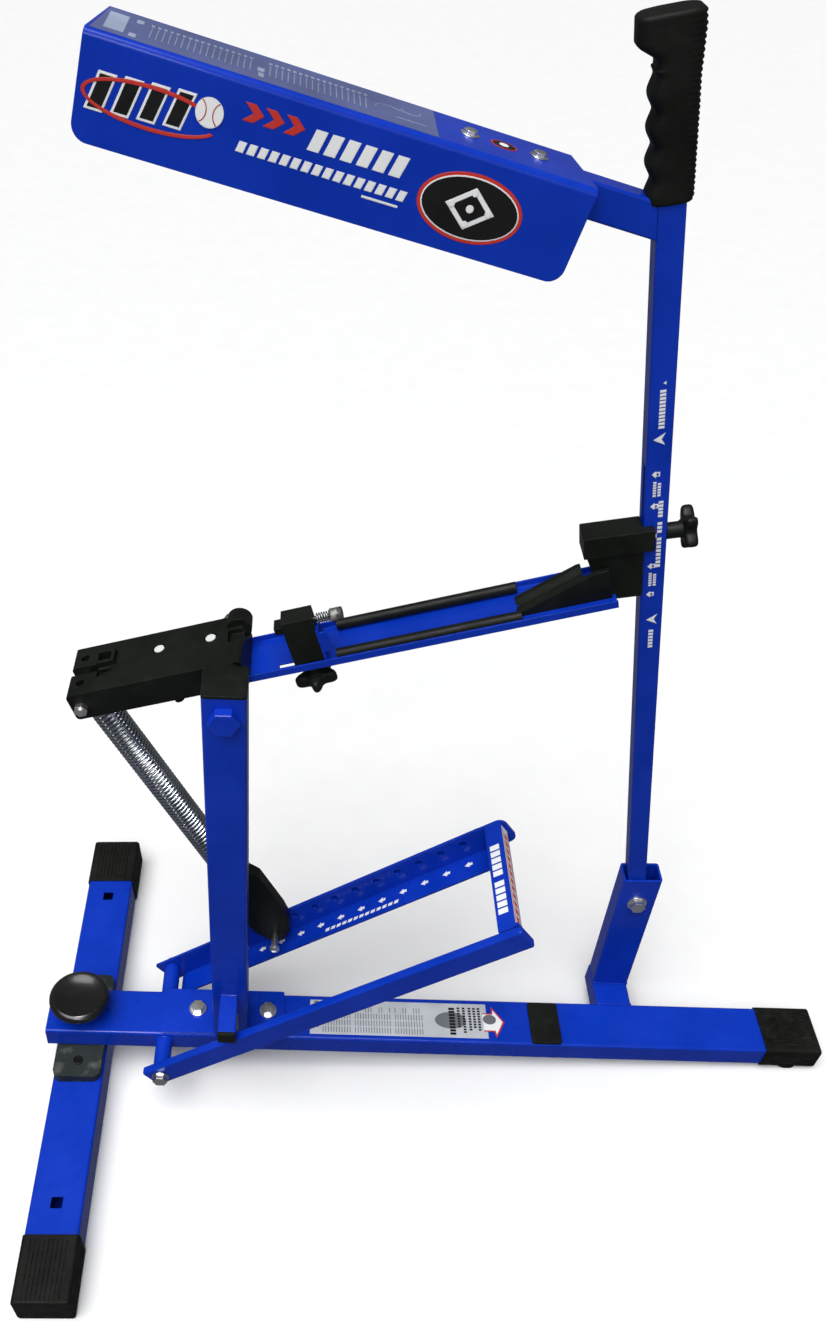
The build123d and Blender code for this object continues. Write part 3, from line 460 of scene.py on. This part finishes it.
hood_side = HOOD @ facing_near(RELEASE_Y - HOOD_WIDTH / 2)


def slanted(x, z, w, h, lean):
    """A leaning bar."""
    return [(x, z), (x + w, z), (x + w + lean, z + h), (x + lean, z + h)]


def arc(cx, cy, a, b, t, a0, a1, n=16):
    """Part of an ellipse as a line t wide, from angle a0 to a1 in degrees."""
    pts = [(cos(radians(a0 + (a1 - a0) * k / n)), sin(radians(a0 + (a1 - a0) * k / n))) for k in range(n + 1)]
    return [[(cx + a * p[0], cy + b * p[1]), (cx + a * q[0], cy + b * q[1]),
             (cx + (a - t) * q[0], cy + (b - t) * q[1]), (cx + (a - t) * p[0], cy + (b - t) * p[1])]
            for p, q in zip(pts, pts[1:])]


# left: a ball with seams over sweeping bars
print_on("hood_swoosh_white", [slanted(-424 + 21 * i, -56 + 1.5 * i, 15, 30, 8) for i in range(4)],
         hood_side, WHITE, "release_arm")
print_on("hood_swoosh_black", [slanted(-421.5 + 21 * i, -54 + 1.5 * i, 11, 26, 7) for i in range(4)],
         hood_side, INK, "release_arm", 0.45)
print_on("hood_swoosh_red", arc(-372, -42, 56, 17, 3.2, 20, 340, 36), hood_side, RED, "release_arm", 0.65)
print_on("hood_ball", [ellipse(-326, -32, 11.5, 11.5)], hood_side, WHITE, "release_arm", 0.85)
print_on("hood_ball_seams", arc(-337, -32, 8.5, 10, 0.9, -62, 62) + arc(-315, -32, 8.5, 10, 0.9, 118, 242),
         hood_side, RED, "release_arm", 1.0)
# middle: chevrons and bars
print_on("hood_chevrons", [[(x, -30), (x + 9, -30), (x + 17, -23), (x + 9, -16), (x, -16), (x + 8, -23)]
                           for x in (-300 + 17 * i for i in range(3))], hood_side, RED, "release_arm")
print_on("hood_bars", [slanted(-244 + 14 * i, -37, 10, 17, 4) for i in range(6)],
         hood_side, WHITE, "release_arm")
stripe = [slanted(-300 + 9.2 * i, -54, 6.6, 8.5, 2) for i in range(16)]
print_on("hood_stripe", stripe + [rect(-190, -158, -60, -58)], hood_side, WHITE, "release_arm")
# right: an oval badge with a ball field's diamond and its bases
BADGE_X, BADGE_Z = -99, -43.5


def badge_diamond(half_w, half_h):
    """A diamond about the badge's centre."""
    return [[(BADGE_X, BADGE_Z - half_h), (BADGE_X + half_w, BADGE_Z),
             (BADGE_X, BADGE_Z + half_h), (BADGE_X - half_w, BADGE_Z)]]


print_on("hood_badge_rim", [ellipse(BADGE_X, BADGE_Z, 46.5, 28)], hood_side, RED, "release_arm")
print_on("hood_badge_line", [ellipse(BADGE_X, BADGE_Z, 43.4, 25.2)], hood_side, WHITE, "release_arm", 0.4)
print_on("hood_badge", [ellipse(BADGE_X, BADGE_Z, 42.2, 24.0)], hood_side, INK, "release_arm", 0.55)
print_on("hood_badge_diamond", badge_diamond(22, 17.5), hood_side, WHITE, "release_arm", 0.7)
print_on("hood_badge_centre", badge_diamond(15.5, 12.5), hood_side, INK, "release_arm", 0.85)
bases = [ellipse(BADGE_X + x, BADGE_Z + z, 3, 3, 16) for x, z in ((0, -13), (16.5, 0), (0, 13), (-16.5, 0))]
print_on("hood_badge_bases", bases + [ellipse(BADGE_X, BADGE_Z, 3.4, 3.4, 16)],
         hood_side, WHITE, "release_arm", 1.0)
# top: a grey strip with two scales of ticks and two loops
TICK_PITCH, TICKS = 5.1, 17
print_on("hood_strip", [[(-428, 94), (-142, 94), (-142, 164), (-421, 164)]], HOOD, HAZE, "release_arm", 0.2)
marks = [rect(-419, -403, 104, 152), rect(-399, -393, 100, 110), rect(-397, -391, 142, 152)]
for x0 in (-384, -286):
    marks += [rect(x0 + TICK_PITCH * i, x0 + TICK_PITCH * i + 1, 112, 140) for i in range(TICKS)]
    marks += [rect(x0 + TICK_PITCH * i - 1, x0 + TICK_PITCH * i + 2, 144, 149) for i in range(TICKS)]
marks += [rect(-295, -290, 104, 114), rect(-296, -290, 118, 128)]
marks += arc(-184, 128, 12, 9, 1.0, 20, 200) + arc(-164, 138, 9, 7, 1.0, 160, 380)
marks += [rect(-178, -152, 112, 113.2)]
print_on("hood_scale", marks, HOOD, PALE, "release_arm", 0.4)

# top right: two flanged screws and a small oval badge between them
for k, x in enumerate((-112, -49)):
    place = Matrix.Translation((x, RELEASE_Y, 0))
    flange = lathe([(0, 0.1), (8.4, 0.1), (8.4, 0.9), (7.2, 1.4), (0, 1.4)], 32)
    flats = lathe([(0, 1.2), (6.4, 1.2), (6.4, 3.6), (5.2, 4.3), (0, 4.5)], 6)
    piece(f"hood_screw_{k + 1}", *merged([moved(flange, place), moved(flats, place)]),
          HOOD, ZINC, "release_arm", "zinc", ["hood_bolts"] if k else ())
print_on("hood_small_rim", [ellipse(-81, RELEASE_Y, 12, 10)], HOOD, RED, "release_arm")
print_on("hood_small_badge", [ellipse(-81, RELEASE_Y, 10.4, 8.4)], HOOD, INK, "release_arm", 0.4)
print_on("hood_small_ball", [ellipse(-81, RELEASE_Y, 4.4, 4.4, 24)], HOOD, WHITE, "release_arm", 0.55)

# release arm: markers up its near face
release_face = RELEASE @ facing_near(RELEASE_Y - TUBE_HALF)


def house(x, z, w, h):
    """Small marker: a block with a pointed roof on its left."""
    return [(x + w, z - 0.6 * h), (x + w, z + 0.6 * h), (x, z + 0.6 * h), (x, z + h),
            (x - w, z), (x, z - h), (x, z - 0.6 * h)]


def letters(x0, x1, z0, z1, count):
    """A column of bars in place of lettering."""
    step = (z1 - z0) / count
    return [rect(x0, x1, z0 + step * i, z0 + step * (i + 0.72)) for i in range(count)]


marks, spots = [], []
for z in (715.8, 677.3, 639.5, 600.2, 561.6):
    marks.append(house(-2.6, z, 4.2, 4.4))
    spots.append(rect(-2.0, 0.0, z - 1.4, z + 1.4))
for x, z in ((-1.0, 756), (0.6, 525)):
    marks.append([(x - 6, z), (x + 6, z + 7), (x + 2.4, z), (x + 6, z - 7)])
marks += letters(-2.6, 3.4, 768, 811, 11) + letters(-2.2, 3.2, 483, 511, 6) + [[(0, 817), (3, 815), (3, 819)]]
for z0 in (689, 573):
    marks += letters(-5.0, -1.6, z0, z0 + 19, 6) + letters(-0.2, 3.2, z0, z0 + 17, 5)
marks += letters(1.6, 6.6, 598, 638, 8) + letters(1.6, 6.6, 643, 658, 3) + letters(1.6, 6.6, 663, 684, 5)
print_on("release_marks", marks, release_face, WHITE, "release_arm")
print_on("release_mark_spots", spots, release_face, BLUE, "release_arm", 0.4)

# pedal: markers along the far rail's foot, bars on the step and a label on its lip
MARKS, MARK_PITCH, MARK_S0, MARK_Y = 11, 36.2, 160, 117.8
FOOT_W, STEP_W, LIP_S = -24.0, 18.5, 597.0
marks = []
for i in range(MARKS):
    s = MARK_S0 + MARK_PITCH * i
    marks.append([(s + 2.5, MARK_Y - 4.8), (s + 2.5, MARK_Y - 2.2), (s + 7.5, MARK_Y - 2.2),
                  (s + 7.5, MARK_Y + 2.2), (s + 2.5, MARK_Y + 2.2), (s + 2.5, MARK_Y + 4.8), (s - 5, MARK_Y)])
marks += [slanted(278 + 10 * i, 102.5, 7, 5.0, 2) for i in range(13)]
print_on("pedal_marks", marks, PEDAL @ Matrix.Translation((0, 0, FOOT_W)), WHITE, "pedal")
bars = [rect(577, 591, y0 + 11 * i, y0 + 11 * i + 8.6) for y0 in (-20, 42) for i in range(5)]
print_on("step_bars", bars, PEDAL @ Matrix.Translation((0, 0, STEP_W)), WHITE, "pedal")
lip = PEDAL @ Matrix.Translation((LIP_S, 0, 0)) @ Matrix.Rotation(pi / 2, 4, "Z") @ NEAR
print_on("step_lip_label", [rect(-41, 127, -1.5, 15.5)], lip, WHITE, "pedal")
lines = [rect(-37, 123, z, z + 1.2) for z in (0.5, 12.5)]
lines += [slanted(-34 + 12.6 * i, 3.5, 8.5, 6.5, 3) for i in range(12)]
print_on("step_lip_lines", lines, lip, RED, "pedal", 0.4)

# beam: a plain metal label with columns of lines, a sole print and an arrow
print_on("beam_label", [rect(384.5, 656, 8, 68)], BEAM, SILVER, "frame")
lines = [rect(391, 398, 60 - 8 * k, 66 - 8 * k) for k in range(6)]
for k in range(38):
    x = 404 + 4.1 * k
    if k not in (11, 26):                  # gaps between the columns
        ragged_end = 62 - (k * 7) % 9
        lines += [rect(x, x + 1.1, y0, y0 + 9.5) for y0 in (12, 24, 36, 48) if y0 + 9.5 < ragged_end]
print_on("beam_label_lines", lines, BEAM, GREY, "frame", 0.35)
print_on("beam_sole", [ellipse(600, 38, 24, 14.5)], BEAM, GREY, "frame", 0.35)
bold = [rect(598, 607, 13 + 5.4 * k, 17 + 5.4 * k) for k in range(9)]
for x, n in ((611, 8), (619, 10), (628, 9), (635, 8), (642, 9)):
    bold += [rect(x, x + 4.2, 58 - 4.6 * k, 61 - 4.6 * k) for k in range(n)]
print_on("beam_bold_lines", bold, BEAM, INK, "frame", 0.5)
print_on("beam_arrow_edge", [[(650, 20), (666, 20), (668, 9), (683, 37), (664, 64), (664, 52), (650, 52)]],
         BEAM, RED, "frame", 0.45)
print_on("beam_arrow", [[(650, 22), (667.5, 22), (669, 15), (680, 37), (666, 58), (665.5, 50), (650, 50)]],
         BEAM, WHITE, "frame", 0.6)
print_on("beam_heel", [ellipse(660, 41, 10, 8.5)], BEAM, GREY, "frame", 0.75)
print_on("post_label", [rect(253, 277, 18, 62)], BEAM @ facing_near(0.5), GREY, "frame", 0.2)

# ---- welds --------------------------------------------------------------------------------
RIPPLE = 2.2                               # spacing of a bead's ripples
PIVOT_X, PIVOT_Z, PIVOT_WELD_R = 165, -19, 13.2


def weld(name, path, place, body, r=2.2):
    """A bead of overlapping ripples along a path."""
    points = [Vector(p) for p in path]
    centres = []
    for a, b in zip(points, points[1:]):
        k = max(2, int((b - a).length / RIPPLE))
        centres += [a + (b - a) * (i / k) for i in range(k)]
    centres.append(points[-1])
    radii = [r * (1.0 if i % 2 else 0.84) for i in range(len(centres))]
    return piece(name, *tube(centres, radii, 10), place, BLUE, body, "blue_paint", smooth=60)


def square(x0, x1, y0, y1, z):
    """A closed path round a rectangle."""
    return [(x0, y0, z), (x1, y0, z), (x1, y1, z), (x0, y1, z), (x0, y0, z)]


weld("weld_post", square(241, 289.5, 2.5, 50, 4.2), BEAM, "frame")
weld("weld_plate", [(163, 2.6, 0.8), (344, 2.6, 0.8)], BEAM, "frame", 1.6)
weld("weld_bracket", square(832.5, 885, 114, 146, 0.6), BEAM, "frame")
weld("weld_base", [(833, 76.8, -1.5), (884.5, 76.8, -1.5), (884.5, 76.8, -36.5)], BEAM, "frame")
weld("weld_hood_arm", [(-13.2, 118, 966), (-13.2, 142, 966)], RELEASE, "release_arm", 2.0)
for y in (-0.8, 77.0):
    loop = [(PIVOT_X + PIVOT_WELD_R * c, y, PIVOT_Z + PIVOT_WELD_R * s) for c, s in circle(24)]
    weld(f"weld_pivot_{int(y) + 1}", loop + loop[:1], BEAM, "frame", 1.8)
weld("weld_stub", [(252.5, 0.2, 109.4), (276, 0.2, 109.4)], BEAM, "frame", 1.6)
for which, y in (("near", -45.2), ("far", 131.0)):
    weld(f"weld_step_{which}", [(574, y, 14.5), (593, y, 14.5)], PEDAL, "pedal", 1.5)

# ---- stage --------------------------------------------------------------------------------
FLOOR = 30.0                               # half width, metres
ROOM_LIGHT = 0.16
floor_mesh = bpy.data.meshes.new("floor")
floor_mesh.from_pydata([(x, y, 0) for x, y in rect(-FLOOR, FLOOR, -FLOOR, FLOOR)], [], [(0, 1, 2, 3)])
floor = bpy.data.objects.new("floor", floor_mesh)
bpy.context.scene.collection.objects.link(floor)
floor_mesh.materials.append(finish("pale_floor", (0.94, 0.94, 0.94), 0.8, mottle=0.01, grain=40, bump=0.01))
floor.visible_glossy = floor.visible_diffuse = False      # keeps its light off the upright faces

world = bpy.data.worlds.new("studio")
bpy.context.scene.world = world
world.use_nodes = True
world.node_tree.nodes["Background"].inputs["Color"].default_value = (0.96, 0.98, 1.0, 1)
world.node_tree.nodes["Background"].inputs["Strength"].default_value = ROOM_LIGHT


def lamp(name, where, target, kind, size, power):
    """A sun or an area light aimed at target; a sun's size is its angle."""
    light = bpy.data.lights.new(name, kind)
    light.energy = power
    if kind == "SUN":
        light.angle = size
    else:
        light.size = size
    ob = bpy.data.objects.new(name, light)
    ob.location = where
    ob.rotation_euler = (Vector(target) - Vector(where)).to_track_quat("-Z", "Y").to_euler()
    bpy.context.scene.collection.objects.link(ob)
    return ob


lamp("sky", (-1.2, -1.4, 6.0), (0, 0, 0), "SUN", radians(50), 2.9)
lamp("front", (0.8, -3.6, 2.2), (0, 0, 0.7), "AREA", 2.2, 10)
lamp("hood", (-0.5, -1.7, 2.2), (-0.15, 0, 1.25), "AREA", 0.9, 13)
lamp("glint", (-0.5, -1.0, 4.2), (0, 0, 0.5), "AREA", 0.7, 60).visible_diffuse = False
bpy.context.scene.view_settings.view_transform = "Standard"

# ---- camera -------------------------------------------------------------------------------
EYE = Vector((334.8, -919.3, 1520.6))      # in the beam's frame
YAW, PITCH_DOWN, ROLL = radians(-1.451), radians(44.576), radians(2.894)
SENSOR = 36.0
LENS_SHARE = 0.8654                        # focal length over the image's height
SHIFT_X, SHIFT_Y = 0.0802, 0.0654
level = Vector((-sin(YAW), cos(YAW), 0))
forward = level * cos(PITCH_DOWN) - Vector((0, 0, 1)) * sin(PITCH_DOWN)
above = level * sin(PITCH_DOWN) + Vector((0, 0, 1)) * cos(PITCH_DOWN)
side = Vector((cos(YAW), sin(YAW), 0))
right = side * cos(ROLL) + above * sin(ROLL)
up = above * cos(ROLL) - side * sin(ROLL)
turn = BEAM.to_3x3().normalized()
camera_data = bpy.data.cameras.new("camera")
camera_data.sensor_fit, camera_data.sensor_height = "VERTICAL", SENSOR
camera_data.lens = LENS_SHARE * SENSOR
camera_data.shift_x, camera_data.shift_y = SHIFT_X, SHIFT_Y
camera_data.clip_end = 100
camera = bpy.data.objects.new("camera", camera_data)
axes = Matrix((turn @ right, turn @ up, -(turn @ forward))).transposed()
camera.matrix_world = Matrix.Translation(BEAM @ EYE) @ axes.to_4x4()
bpy.context.scene.collection.objects.link(camera)
bpy.context.scene.camera = camera
